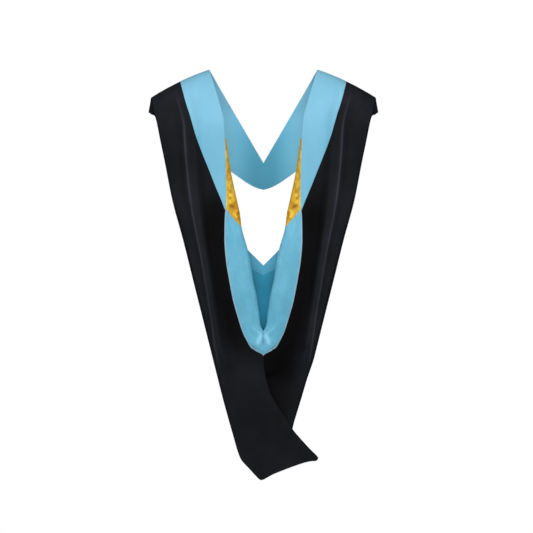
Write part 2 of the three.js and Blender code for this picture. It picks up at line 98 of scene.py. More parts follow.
# Cubic through the points that never overshoots: each inner slope is the harmonic mean of the
# chords beside it, or 0 at a turning point.
def curveThrough(points):
    x, y = np.array(points, float).T
    chord = np.diff(y) / np.diff(x)
    product = chord[:-1] * chord[1:]
    total = np.where(product > 0, chord[:-1] + chord[1:], 1.0)
    inner = np.where(product > 0, 2 * product / total, 0.0)
    slope = np.concatenate([chord[:1], inner, chord[-1:]])

    def at(where):
        where = np.clip(np.asarray(where, float), x[0], x[-1])
        i = np.clip(np.searchsorted(x, where, side="right") - 1, 0, len(x) - 2)
        span = x[i + 1] - x[i]
        t = (where - x[i]) / span
        rise = y[i + 1] - y[i]
        a, b = slope[i] * span, slope[i + 1] * span
        return y[i] + t * (a + t * (3 * rise - 2 * a - b + t * (a + b - 2 * rise)))

    return at


# Value noise from -1 to 1: random heights on a unit lattice, joined by smoothstep both ways.
def softNoise(a, b, seed):
    lattice = np.random.default_rng(seed).uniform(-1, 1, (64, 64))
    i, j = np.floor(a).astype(int), np.floor(b).astype(int)
    s, t = smoothStep(a - i), smoothStep(b - j)
    near = mix(lattice[i % 64, j % 64], lattice[(i + 1) % 64, j % 64], s)
    far = mix(lattice[i % 64, (j + 1) % 64], lattice[(i + 1) % 64, (j + 1) % 64], s)
    return mix(near, far, t)


def stack(x, y, z):
    return np.stack(np.broadcast_arrays(x, y, z), -1).astype(float)


# Distances out from the centre plane, and depths behind the shoulder ridge, against the drop
creaseOut = curveThrough([
    (0, 135.5), (37.1, 123.4), (94.1, 107), (116.2, 100.9), (144, 98.2), (226, 94.4),
    (325.8, 93.2), (375.8, 96.7), (425.7, 97.3), (476.3, 93.5), (526.2, 85.5), (576.1, 76),
    (626, 62), (655.2, 52.5), (675.9, 42.5), (695.9, 30.5), (713, 0.3)])
foldOut = curveThrough([
    (70, 281.5), (112.2, 272.8), (125.6, 268.2), (176, 257.4), (225.5, 246.9), (326.4, 226.9),
    (426.2, 199.9), (526.1, 175.1), (625.9, 150), (725.8, 125), (825.7, 99.9), (925.5, 72.1),
    (950.2, 65), (973.9, 56), (997.6, 35.5), (1029.5, 6.2)])
seamBand = curveThrough([
    (34.5, 83.3), (45.9, 84.5), (75.9, 85), (105.9, 84), (151.1, 75.7), (201.1, 60.5),
    (251.2, 42), (300.8, 22.8), (345, 3.9)])
rollOut = curveThrough([
    (170.3, 93.5), (252.8, 82), (324.9, 66.9), (358.3, 59.5), (398.2, 54.1), (445.4, 40.7),
    (476.2, 33.5), (526, 25.8), (575.7, 15), (608, 10.8), (640, 6.9), (655, 0)])
hemPoints = [(112.7, 272.8), (240.1, 225.2), (345, 139.9), (444.9, 45), (490, 0)]
hemLine = curveThrough(hemPoints)
hemDropAt = curveThrough([(out, drop) for drop, out in reversed(hemPoints)])
creaseDepth = curveThrough([
    (0, 0), (4.1, 24.2), (14.4, 41.8), (31.9, 57.2), (59.7, 70.4), (99.9, 81.4), (150.3, 90.2),
    (225.5, 99), (344.9, 106.2), (463.3, 110), (545.6, 110), (619.8, 104.5), (712.4, 94.6),
    (799.9, 83.6), (899.8, 72.6), (970.8, 62.7), (1029.5, 59.4)])
foldDepth = curveThrough([
    (70, 0), (74.1, 22), (83.4, 38.5), (95.7, 49.5), (112.2, 57.2), (135.9, 62.1),
    (170.9, 64.9), (298.6, 67.1), (444.7, 67.1), (619.8, 64.9), (712.4, 62.1), (823.6, 58.3),
    (926.6, 53.9), (1029.5, 52.3)])
underDepth = curveThrough([
    (112.2, 55), (170.9, 55), (298.6, 47.3), (444.7, 50.6), (530.2, 53.9), (712.4, 51.2),
    (926.6, 46.8), (1029.5, 49.5)])

# The tail against its share of the way down: the ridge's drop and its sway to the right, the
# right panel's tuck and fold, and how far those two drop between the ridge and the lowest point
tailShare = [0, 0.111, 0.18, 0.338, 0.464, 0.558, 0.672, 0.751, 0.899, 1]
tailTable = {
    "ridge": [0, 0.112, 0.182, 0.349, 0.496, 0.601, 0.717, 0.826, 0.922, 1],
    "sway": [0, 0, 0.022, 0.104, 0.252, 0.388, 0.514, 0.683, 0.849, 1],
    "tuck": [0, 0, 0.04, 0.11, 0.2, 0.28, 0.33, 0.43, 0.54, 0.62],
    "fold": [0.456, 0.417, 0.39, 0.337, 0.294, 0.263, 0.24, 0.225, 0.205, 0.2],
    "tuckFall": [0.1, 0.1, 0.2, 0.2, 0.2, 0.3, 0.4, 0.5, 0.6, 0.62],
    "foldFall": [1, 1, 1, 1, 1, 1, 0.9, 0.72, 0.62, 0.6],
}
tailCurve = {name: curveThrough(list(zip(tailShare, values))) for name, values in tailTable.items()}


# Distance out to the seam between band and black cloth: crease + band width at that drop.
def seamOut(drop):
    return creaseOut(drop) + seamBand(drop)


# Distance out to the hem of the under layer: its line down to the V, then 0.
def hemOut(drop):
    return np.where(drop >= hemDrop, 0.0, hemLine(drop))


# Radius of the outer fold: 2.2 at the hems, opening with the square root of the drop to 8.5 in
# the cowl and closing by smoothstep down the tail.
def foldRound(drop):
    opening = np.sqrt(clamp01((drop - notchDrop) / (hemDrop - notchDrop)))
    closing = smoothStep((drop - cowlLength) / tailLength)
    return mix(2.2, 8.5, opening * (1 - closing))


# Ends of the rows of the back. On the shoulder the crease lies higher than the fold by
# shoulderFall, which eases to 0; in the tail it runs to the tip as tailCurve says.
def backRow(drop):
    drop = np.asarray(drop, float)[:, None]
    settle = 1 - smoothStep((drop - shoulderFall) / (2 * notchDrop - shoulderFall))
    tail = (drop - cowlLength) / tailLength
    inTail = drop > cowlLength
    tailDrop = mix(cowlLength, tipDrop, tailCurve["ridge"](tail))
    creaseDrop = np.where(inTail, tailDrop, drop - shoulderFall * settle)
    sway = -tailReach * tailCurve["sway"](tail) - smoothStep(tail / 0.03)
    out = np.where(inTail, sway, creaseOut(creaseDrop))
    return {
        "drop": drop,
        "creaseDrop": creaseDrop,
        "crease": out,
        "fold": foldOut(drop),
        "creaseY": -creaseDepth(creaseDrop),
        "foldY": -foldDepth(drop),
        "radius": foldRound(drop),
        "width": foldOut(drop) - out,
    }


# Folds of the black panels and the foot of the tail, in millimetres and shares of each row
drape = {
    "pleatHeight": 6.0,
    "pleatSpread": 0.075,
    "pleatPlace": curveThrough([
        (70, 0.6), (141, 0.606), (234, 0.649), (329, 0.664), (459, 0.645), (546, 0.69),
        (624, 0.77), (700, 0.89), (760, 0.97)]),
    "pleatEnd": (680, 110),
    "sideHeight": 3.0,
    "sideFold": (0.32, 0.1),
    "sideHollow": (0.16, 0.07),
    "calmEdge": 0.12,
    "softHeight": 2.0,
    "fineHeight": 0.4,
    "shoulderLift": 5.5,
    "tailEdge": curveThrough([
        (0, 0), (0.26, 5.3), (0.5, 4.9), (0.74, 3.1), (0.87, -0.3), (0.95, -4), (1, -3.5)]),
    "tailLap": {-1: (0.0, 3.5), 1: (15.0, 8.0)},
    "footFrom": 915.0,
    "heelOut": 6.2,
    "cornerPull": {-1: [(2.6, 5)], 1: [(2.6, 5), (3, 22)]},
}


# How strongly the folds of the back show: eased in below the shoulder and out down the tail.
def foldStart(drop):
    return smoothStep((drop - shoulderFall) / notchDrop)


def foldFade(drop):
    return foldStart(drop) * smoothStep((tipDrop - drop) / tailLength)


# The pleat runs out into the outer fold above the tail.
def pleatFade(drop):
    return foldFade(drop) * (1 - easeOver(drop, drape["pleatEnd"]))


# Soft folds of the black panels, in millimetres towards the viewer: a standing pleat along
# pleatPlace, a lower fold and a hollow beside it, and two sizes of noise drawn out downwards.
def backFolds(row, share):
    drop = row["drop"]
    place = drape["pleatPlace"](drop)
    pleat = drape["pleatHeight"] * hump(share, place, drape["pleatSpread"])
    foldAway, foldSpread = drape["sideFold"]
    hollowAway, hollowSpread = drape["sideHollow"]
    sideFolds = hump(share, place - foldAway, foldSpread) - hump(share, place - hollowAway, hollowSpread)
    across = share * row["width"]
    soft = drape["softHeight"] * softNoise(across / 46 + 3.7, drop / 230 + across / 300, 5)
    fine = drape["fineHeight"] * softNoise(across / 17 + 1.3, drop / 90, 8)
    edges = smoothStep(share / drape["calmEdge"]) * smoothStep((1 - share) / drape["calmEdge"])
    drapes = (0.3 + 0.7 * foldStart(drop)) * edges * (soft + fine)
    return pleatFade(drop) * (pleat + drape["sideHeight"] * sideFolds * edges) + drapes


# Lift of the cloth along the top of the shoulder, in millimetres: a parabola from neck to tip,
# fading by smoothstep over the 150 mm below the ridge.
def shoulderRise(out, below):
    t = clamp01((out - neckHalf) / (shoulderHalf - neckHalf))
    return drape["shoulderLift"] * 4 * t * (1 - t) * (1 - smoothStep(below / 150))


# Points of the black outer face at a share of the way from crease to fold:
# y = foldY - radius * arch - rise * (1 - share^2) - folds, the rest linear between the ends.
def backPoints(row, share):
    toFold = (1 - share) * row["width"]
    atFold = row["foldY"] - row["radius"] * arch(toFold / row["radius"])
    rise = row["foldY"] - row["radius"] - row["creaseY"]
    out = mix(row["crease"], row["fold"], share)
    drop = mix(row["creaseDrop"], row["drop"], share)
    return stack(
        out,
        atFold - rise * (1 - share**2) - backFolds(row, share),
        shoulderRise(out, row["drop"] - shoulderFall) - drop,
    )


# Share of each row at which the band gives way to black cloth, found by six fixed-point steps.
def seamOnRow(row):
    share = np.full_like(row["drop"], 0.4)
    for _ in range(6):
        drop = mix(row["creaseDrop"], row["drop"], share)
        share = clamp01((seamOut(drop) - row["crease"]) / row["width"])
    return share


# Chest: y = (chestDepth * arch(below / archHeight) + chestSlope * below) * (1 - 0.35 (out /
# shoulderHalf)^2), where below is the drop under the shoulder ridge.
def chestPoints(out, drop):
    ridge = np.maximum(0, shoulderFall * (out - neckHalf) / (shoulderHalf - neckHalf))
    below = np.maximum(0, drop - ridge)
    forward = chestDepth * arch(below / archHeight) + chestSlope * below
    return stack(out, forward * (1 - 0.35 * (out / shoulderHalf) ** 2), shoulderRise(out, below) - drop)


# Half circle of points from a tip, centre = tip - radius * outwards, turning from -inwards to
# +inwards: centre + radius * (outwards cos + inwards sin).
def halfTurn(tip, outwards, inwards, radius, count):
    angle = np.pi * (np.linspace(0, 1, count)[None, :, None] - 0.5)
    centre = tip - outwards * radius
    turned = outwards[:, None] * np.cos(angle) + inwards[:, None] * np.sin(angle)
    return centre[:, None] + radius[:, None] * turned


# Straight rows between two columns of points.
def rowsBetween(start, end, count):
    share = np.linspace(0, 1, count)[None, :, None]
    return mix(start[:, None], end[:, None], share)


def unit(vectors):
    return vectors / np.linalg.norm(vectors, axis=-1, keepdims=True)


# Cubic through the points of each row, with tangents from the chord lengths beside each point;
# every span between two points takes the same number of steps.
def smoothRows(points, steps):
    chord = np.maximum(np.linalg.norm(np.diff(points, axis=1), axis=-1, keepdims=True), 0.05)
    slope = np.diff(points, axis=1) / chord
    inner = (slope[:, :-1] * chord[:, 1:] + slope[:, 1:] * chord[:, :-1]) / (chord[:, :-1] + chord[:, 1:])
    tangent = np.concatenate([slope[:, :1], inner, slope[:, -1:]], axis=1)
    t = np.linspace(0, 1, steps, endpoint=False)[None, None, :, None]
    start, end = points[:, :-1, None], points[:, 1:, None]
    a, b = (tangent[:, :-1] * chord)[:, :, None], (tangent[:, 1:] * chord)[:, :, None]
    rise = end - start
    spans = start + t * (a + t * (3 * rise - 2 * a - b + t * (a + b - 2 * rise)))
    flat = spans.reshape(len(points), -1, 3)
    return np.concatenate([flat, points[:, -1:]], axis=1)


# Corner of the strap's lower edge and the seam over the chest, drawn flat as (out, drop)
upperStart = np.array([0.0, chestDrop])
upperEnd = np.array([neckHalf, 0.0])
squareOff = np.array([chestDrop, neckHalf]) / math.hypot(chestDrop, neckHalf)
strapUpper = mix(upperStart, upperEnd, 0.058)
strapCorner = strapUpper + trimWidth * squareOff + np.array([8.5, -6.1])
ridgeRow = backRow([shoulderFall])
ridgeShare = float(seamOnRow(ridgeRow)[0, 0])
ridgeSeam = np.array([
    mix(ridgeRow["crease"][0, 0], ridgeRow["fold"][0, 0], ridgeShare),
    mix(ridgeRow["creaseDrop"][0, 0], shoulderFall, ridgeShare),
])

shell = {
    "thickness": 1.6,
    "chestRows": 26,
    "backRows": 214,
    "nearColumns": 104,
    "turnColumns": 13,
    "underColumns": 46,
    "hemTurn": 9.0,
    "hemRadius": 2.2,
    "capLength": 34.5,
    "capFlare": 6.3,
}
nearSteps = np.linspace(0, 1, shell["nearColumns"])[None, :]


# Half turn at a shell's edge, from the last points of its outer face.
def edgeTurn(face, outwards, inwards, radius):
    tip = face[:, -1] + radius * (inwards + outwards)
    return halfTurn(tip, outwards, inwards, radius, shell["turnColumns"])


# Columns of a shell: its outer face, the half turn, and straight rows on to the hem's end.
def joinColumns(face, turn, end):
    under = rowsBetween(turn[:, -1], end, shell["underColumns"])
    return np.concatenate([face[:, :-1], turn, under[:, 1:]], 1)


# Chest rows of the shell: from the strap's seam to the free edge, a half turn, and the hem.
def chestShell(step):
    step = step[:, None]
    seam = mix(ridgeSeam, strapCorner, step)
    edgeOut = shoulderHalf + shell["capFlare"] * step
    edge = np.concatenate([edgeOut, shoulderFall + shell["capLength"] * step], 1)
    span = np.linalg.norm(edge - seam, axis=1, keepdims=True)
    share = mix(clearance / span, 1 - shell["hemRadius"] / span, nearSteps)
    flat = mix(seam[:, None], edge[:, None], share[..., None])
    face = chestPoints(flat[..., 0], flat[..., 1])
    fall = clamp01(shell["capLength"] * step[:, 0] / archHeight)
    inwards = unit(stack(0.0, -arch(fall), fall - 1))
    outwards = unit(stack(1.0, 0.0, -(edge[:, 1] - seam[:, 1]) / (edge[:, 0] - seam[:, 0])))
    turn = edgeTurn(face, outwards, inwards, np.full((len(step), 1), shell["hemRadius"]))
    return joinColumns(face, turn, turn[:, -1] - shell["hemTurn"] * outwards)


# Back rows of the shell: outer face, half turn round the outer fold, and the under layer running
# to its hem or to the centre seam.
def backShell(drop):
    row = backRow(drop)
    inner = np.where(row["drop"] <= trimLength, seamOnRow(row) + clearance / row["width"], 0)
    face = backPoints(row, mix(inner, 1 - row["radius"] / row["width"], nearSteps))
    fall = clamp01((row["drop"][:, 0] - shoulderFall) / archHeight)
    inwards = unit(stack(0.0, arch(fall), fall - 1))
    outwards = unit(stack(row["width"][:, 0], 0.0, (row["creaseDrop"] - row["drop"])[:, 0]))
    turn = edgeTurn(face, outwards, inwards, row["radius"])
    start = turn[:, -1]
    joined = np.maximum(smoothStep((row["drop"] - notchDrop) / 92), 0.001) * (row["drop"] > notchDrop)
    reach = np.maximum(0, np.minimum(hemOut(drop), start[:, 0] - shell["hemTurn"]))
    under = stack(np.minimum(reach, start[:, 0] - 1), -underDepth(drop), -drop)
    end = mix(start - shell["hemTurn"] * outwards, under, joined)
    end[:, 0] = np.where(drop >= hemDrop, 0, end[:, 0])
    return joinColumns(face, turn, end)


# Rows of the right panel's tail: from under the left panel's ridge, back under that panel, out
# to its own fold and along the under layer to the centre seam.
def rightTail(drop):
    row = backRow(drop)
    tail = (row["drop"] - cowlLength) / tailLength
    behind, lap = smoothStep(tail / 0.111), smoothStep((tail - 0.111) / 0.111)

    def height(share):
        return -mix(row["creaseDrop"], row["drop"], share)

    ridgeX = clearance - row["crease"] - 2 * shell["thickness"] * lap - 2.5 * smoothStep(tail / 0.03)
    ridge = stack(ridgeX, row["creaseY"] + 2.5 * behind, height(0.02 * lap))
    foldPlace = shoulderHalf * tailCurve["fold"](tail)
    tuckX = mix(foldPlace * 0.3, -row["crease"] - tailReach * tailCurve["tuck"](tail), lap)
    nearShare = clamp01((row["crease"] + tuckX) / (row["crease"] - row["fold"]))
    nearY = backPoints(row, nearShare)[..., 1] + backFolds(row, nearShare)
    tuckY = mix(nearY, -underDepth(row["drop"]), 0.25 * (behind + lap))
    tuck = stack(tuckX, tuckY, height(tailCurve["tuckFall"](tail)))
    foldHeight = height(tailCurve["foldFall"](tail))
    faceEnd = stack(foldPlace - row["radius"], row["foldY"] - row["radius"], foldHeight)
    middle = mix(tuck, faceEnd, 0.5) - stack(0.0, 2 * (1 - lap), 0.0)
    path = smoothRows(np.concatenate([ridge, tuck, middle, faceEnd], 1), 40)
    keep = np.linspace(0, path.shape[1] - 1, shell["nearColumns"]).round().astype(int)
    face = path[:, keep]
    ones = np.ones(len(drop))
    turn = edgeTurn(face, stack(ones, 0.0, 0.0), stack(0.0, ones, 0.0), row["radius"])
    return joinColumns(face, turn, stack(0.0, -underDepth(drop), -drop))


# Shapes the foot of the tail in the viewer's own x. Its lower edge is lifted as tailEdge says
# along its length, but for the 5 mm at the ridge. tailLap lifts each panel's near layer, away
# from the ridge, and the end of its under layer more. Both corners are drawn in by Gaussians of
# their distance, with the heights and widths in cornerPull.
def shapeTail(grid, drop, side):
    seen = side * grid[..., 0]
    heel = drape["heelOut"]
    s = clamp01((seen + heel) / (tailReach + heel))
    fade = easeOver(drop, (drape["footFrom"], hoodLength - drape["footFrom"]))[:, None]
    fromRidge = np.abs(grid[..., 0] - grid[:, :1, 0])
    underShare = clamp01((np.arange(grid.shape[1]) - shell["nearColumns"]) / shell["underColumns"])
    lap = mix(*drape["tailLap"][side], underShare) * smoothStep(fromRidge / 30)
    grid[..., 2] += fade * (drape["tailEdge"](s) * clamp01(fromRidge / 5) + lap)
    for corner, inwards in (((tailReach, -tipDrop), (-0.8, -0.1)), ((-heel, -hoodLength), (0.1, 1))):
        away = np.hypot(seen - corner[0], grid[..., 2] - corner[1])
        pull = sum(height * hump(away, 0, width) for height, width in drape["cornerPull"][side])
        grid[..., 0] += side * inwards[0] * pull
        grid[..., 2] += inwards[1] * pull
    return grid


# Painted light and shade of the black cloth: how much lighter it is painted in each place, its
# spans of drop, and how it changes across, from the crease to the pleat
blackLightAndShade = {
    "chest": 1.35,
    "tail": 1.05,
    "panel": 1.75,
    "shoulder": 0.75,
    "crest": [(1, 0.012), (0.12, 0.05)],
    "pleat": (3.3, 2.4),
    "pleatSpan": (250, 200),
    "outerLightFrom": (150, 200),
    "outerLightEnd": (640, 110),
    "hollowShadeFrom": (190, 190),
    "hollowShadeEnd": {-1: (1, (650, 120)), 1: (0.35, (740, 90))},
    "shoulderSpan": (shoulderFall, 130),
    "across": curveThrough([
        (0, 0.2), (0.2, 0.155), (0.4, 0.13), (0.5, 0.16), (0.6, 0.26), (0.7, 0.53),
        (0.8, 0.78), (0.9, 0.97), (1, 1)]),
}


# All rows of one shell, and the painted light and shade of its cloth at each point: a painted
# highlight along the pleat, painted light on the shoulder and outside the pleat, and painted shade
# in the hollow between the pleat and the crease, which in the left panel ends above the tail. The
# right shell changes to its tail over the first ninth of it.
def shellGrid(side):
    chest = chestShell(np.linspace(1, 0, shell["chestRows"], endpoint=False) ** 1.7)
    drop = np.concatenate([
        np.linspace(0, 1, 20, endpoint=False) ** 1.8 * (notchDrop - shoulderFall) + shoulderFall,
        np.linspace(notchDrop, hoodLength, shell["backRows"] - 20),
    ])
    back = backShell(drop)
    if side > 0:
        below = drop > cowlLength
        blend = smoothStep((drop[below] - cowlLength) / (0.111 * tailLength))[:, None, None]
        back[below] = mix(back[below], rightTail(drop[below]), blend)
    row = backRow(drop)
    share = clamp01((back[..., 0] - row["crease"]) / row["width"])
    near = np.arange(back.shape[1])[None, :] < shell["nearColumns"]
    place = drape["pleatPlace"](row["drop"])
    spans = ("pleatSpan", "outerLightFrom", "outerLightEnd", "hollowShadeFrom", "shoulderSpan")
    eased = {name: easeOver(row["drop"], blackLightAndShade[name]) for name in spans}
    # Painted highlight along the pleat's crest; then painted light outside the pleat and painted shade in
    # the hollow
    crest = sum(height * hump(share, place, width) for height, width in blackLightAndShade["crest"])
    crest = crest * pleatFade(row["drop"]) * mix(*blackLightAndShade["pleat"], eased["pleatSpan"])
    outerLight = eased["outerLightFrom"] * (1 - eased["outerLightEnd"])
    runOut, runOutSpan = blackLightAndShade["hollowShadeEnd"][side]
    hollowShade = eased["hollowShadeFrom"] * (1 - runOut * easeOver(row["drop"], runOutSpan))
    top = 1 - eased["shoulderSpan"]
    x, z = back[..., 0], back[..., 2]
    mottled = 0.09 * softNoise(x / 26 + 4, z / 50, 61)
    mottled += (0.05 + 0.2 * top) * softNoise(x / 15 + z / 40, z / 13, 62)
    across = mix(1, blackLightAndShade["across"](share / place), hollowShade)
    panel = mix(blackLightAndShade["tail"], blackLightAndShade["panel"], outerLight) * across * (1 + mottled)
    paintedLightAndTone = np.where(near, panel + crest + blackLightAndShade["shoulder"] * top, 1.0)
    paintedLightAndTone = np.concatenate([np.full(chest.shape[:2], blackLightAndShade["chest"]), paintedLightAndTone])
    return np.concatenate([chest, shapeTail(back, drop, side)]), {"paintedLightAndTone": paintedLightAndTone}


trim = {
    "thickness": 2.2,
    "strapRows": 16,
    "chestRows": 40,
    "backRows": 110,
    "columns": 38,
    # Spans in millimetres of the painted shade on the strap and on the lower band, then heights and spans
    # of the painted light on the strap
    "paintedShadeFall": (20, 90),
    "lowFall": (100, 90),
    "lit": [(0.22, (4, 40)), (0.2, (70, 60))],
    "litOut": (15, 65),
}


# The band: strap rows from the centre of the chest, rows to the shoulder ridge, then down the
# back to a point. Its marks paint light and shade: the strap is painted lighter below the ridge
# away from the centre, and goes over to a deeper blue towards the centre lower down as painted
# shade; the band on the back is painted darker lower down.
def trimGrid(side):
    across = np.linspace(0, 1, trim["columns"])[None, :]
    upperShare = np.linspace(0, 0.045, trim["strapRows"])
    outShare = curveThrough([(0, 0), (0.015, 0.197), (0.03, 0.473), (0.045, 0.792)])(upperShare)
    fallShare = curveThrough([(0, 1), (0.015, 0.905), (0.03, 0.657), (0.045, 0.27)])(upperShare)
    upper = mix(upperStart, upperEnd, upperShare[:, None])
    lower = np.stack([strapCorner[0] * outShare, mix(strapCorner[1], 299.0, fallShare)], 1)
    step = np.linspace(1, 0, trim["chestRows"], endpoint=False)[:, None] ** 1.5
    upper = np.concatenate([upper, mix(upperEnd, strapUpper, step)])
    lower = np.concatenate([lower, mix(ridgeSeam, strapCorner, step)])
    flat = mix(upper[:, None], lower[:, None], across[..., None])
    flat[..., 0] = np.maximum(flat[..., 0], 0)
    chest = chestPoints(flat[..., 0], flat[..., 1])
    drop = np.concatenate([
        np.linspace(0, 1, 24, endpoint=False) ** 1.8 * (notchDrop - shoulderFall) + shoulderFall,
        np.linspace(notchDrop, trimLength + 7, trim["backRows"] - 24),
    ])
    row = backRow(drop)
    point = smoothStep((trimLength + 7 - row["drop"]) / 8)
    band = backPoints(row, seamOnRow(row) * across * mix(0.1, 1, point))
    band[..., 1] -= 1.2 * (1 - point)
    fall = -chest[..., 2]
    paintedShade = smoothStep((125 - chest[..., 0]) / 110) * easeOver(fall, trim["paintedShadeFall"])
    low = easeOver(-band[..., 2], trim["lowFall"])
    lit = sum(height * easeOver(fall, span) for height, span in trim["lit"])
    lit = 1 + lit * easeOver(chest[..., 0], trim["litOut"])
    mottled = 0.025 * softNoise(band[..., 0] / 8 + 5, band[..., 2] / 60, 51)
    paint = {
        "paintedShade": np.concatenate([paintedShade, 0.25 * low]),
        "paintedLightAndTone": np.concatenate([lit, 1 - 0.07 * low + mottled]),
    }
    return np.concatenate([chest, band]), paint


lining = {
    "thickness": 1.0,
    "rollWidth": 15.0,
    "rollHeight": 9.0,
    "tuck": 8.0,
    "ease": 3.5,
    "meetSpan": (636, 26),
    "steps": 7,
}


# Rows of lining: tucked under the shell's edge, out over the roll and back under it, along the
# inside of the outer face, round inside the fold and back along the under layer.
def liningRows(creaseDrop, rollDrop):
    row, atCrease = backRow(rollDrop), backRow(creaseDrop)
    roll = rollDrop[:, None]
    edgeY = atCrease["creaseY"] + shell["thickness"] / 2 + trim["thickness"] / 2 + clearance
    proud = smoothStep((cowlLength - roll - clearance) / lining["rollWidth"])
    tuckShare = lining["tuck"] / atCrease["width"]
    plain = backPoints(atCrease, tuckShare)[:, 0] + stack(0.0, backFolds(atCrease, tuckShare)[:, 0], 0.0)
    tucked = plain + stack(0.0, (edgeY - atCrease["creaseY"] + clearance)[:, 0], 0.0)
    creaseX = atCrease["crease"]
    crease = stack(creaseX, edgeY + shell["thickness"] * (1 - proud), -creaseDrop[:, None])[:, 0]
    met = easeOver(roll, lining["meetSpan"])
    lip = np.maximum(rollOut(roll), mix(lining["thickness"] / 2, 0.1, met))
    width = np.maximum(2, np.minimum(lining["rollWidth"], 0.85 * (creaseX - lip)))
    width = mix(width, np.minimum(width, 3.0), met)
    open_ = clamp01((creaseX - lip - width) / lining["tuck"])
    seated = mix(shell["thickness"], -lining["thickness"] * open_, proud)
    crestY = edgeY - atCrease["creaseY"] + seated - creaseDepth(np.minimum(roll, cowlLength))
    crest = stack(lip + width, crestY, -roll)[:, 0]
    swell = mix(crease, crest, 0.5)
    swell[:, 1] -= (proud * np.minimum(lining["ease"], 0.06 * np.abs(creaseX - lip - width)))[:, 0]
    height = mix(np.minimum(lining["rollHeight"], 2 + 0.5 * (creaseX - lip)), 3.0, met)
    front = mix(height, 0.6, met)
    angle = np.linspace(0, np.pi, 7)[None, :]
    depth = np.where(angle < np.pi / 2, front * (1 - np.cos(angle)), front - height * np.cos(angle))
    rolledX = crest[:, :1] - width * np.sin(angle)
    slant = np.where(angle < np.pi / 2, clamp01((creaseX - rolledX) / (creaseX - lip)), 1.0)
    rolled = stack(rolledX, crest[:, 1:2] + depth, -mix(creaseDrop[:, None], roll, slant))
    swell[:, 2] = -mix(creaseDrop, rollDrop, clamp01((creaseX[:, 0] - swell[:, 0]) / (creaseX - lip)[:, 0]))
    radius = np.maximum(lining["thickness"], row["radius"] - lining["ease"])
    ones = np.ones(len(rollDrop))
    outwards, inwards = stack(ones, 0.0, 0.0), stack(0.0, ones, 0.0)
    share = np.array([[0.3, 0.55, 0.78]])
    inside = backPoints(row, share)
    inside[..., 1] += backFolds(row, share) + lining["ease"] + 10 * (1 - share)
    atFold = backPoints(row, 1 - row["radius"] / row["width"])[:, 0]
    tip = stack((row["fold"] - lining["ease"])[:, 0], atFold[:, 1] + row["radius"][:, 0], atFold[:, 2])
    turn = halfTurn(tip, outwards, inwards, radius, 5)
    start = turn[:, -1]
    reach = np.maximum(0, np.minimum(hemOut(rollDrop), start[:, 0] - shell["hemTurn"]))
    end = stack(reach, -underDepth(rollDrop) - lining["ease"], -rollDrop)
    under = rowsBetween(start, end, 6)[:, 1:]
    near = [tucked[:, None], crease[:, None], swell[:, None], rolled]
    return np.concatenate([*near, inside, turn, under], 1)


# Height of a soft stroke from one (out, z) point to another: exp(-(distance / width)^2).
def stroke(grid, start, end, width):
    start, end = np.array(start, float), np.array(end, float)
    place = grid[..., [0, 2]] - start
    along = clamp01(place @ (end - start) / ((end - start) @ (end - start)))[..., None]
    return hump(np.linalg.norm(place - along * (end - start), axis=-1), 0, width)


# Sum of soft strokes, each with its height first.
def strokes(grid, table):
    return sum(height * stroke(grid, *place) for height, *place in table)


# Marks on the lining: edge is 1 along the crease, where the sewn edge shows pale, the painted
# shade mark is 1 in the valley of the under layer, and fromHem is the distance down from its V in
# millimetres, less half the distance out.
def liningPaint(grid, edgeWidth):
    columns = np.arange(grid.shape[1])[None, :]
    steps = np.linalg.norm(np.diff(grid, axis=1, prepend=grid[:, :1]), axis=-1)
    run = np.cumsum(steps, 1)
    fromCrease = run - run[:, lining["steps"], None]
    edge = (1 - smoothStep((fromCrease - edgeWidth) / 1.4)) * (columns < 3 * lining["steps"])
    behind = smoothStep((columns - 7.5 * lining["steps"]) / (1.5 * lining["steps"]))
    out = np.abs(grid[..., 0])
    fromHem = np.where(columns > 12 * lining["steps"], -grid[..., 2] - hemDropAt(out) - 0.5 * out, 99.0)
    grid[..., 1] -= 0.9 * hump(fromCrease, 1.4, 1.1) * (columns < 3 * lining["steps"])
    return {"edge": edge, "paintedShade": np.broadcast_to(behind, edge.shape), "fromHem": fromHem}


# The gold triangle's folds, painted shade spots and painted glints: height, start, end and width of each
gold = {
    "rows": 96,
    "top": 173.575,
    "folds": [
        (2.2, (86, -318), (72, -330), 4), (-1.6, (84, -338), (76, -346), 5),
        (2.0, (72, -362), (61, -376), 4), (1.4, (88, -296), (80, -306), 3.5)],
    "shadeSpots": [
        (1, (83, -341), (74, -344), 4.5), (0.8, (82, -304), (82, -308), 2.6),
        (0.8, (82.5, -321), (82.5, -323), 2), (0.7, (64, -366), (61, -372), 2.5)],
    "glints": [
        (1, (82, -312), (82, -316), 3), (1, (84, -328), (82, -332), 3),
        (1, (71, -361), (66, -369), 3.5)],
}


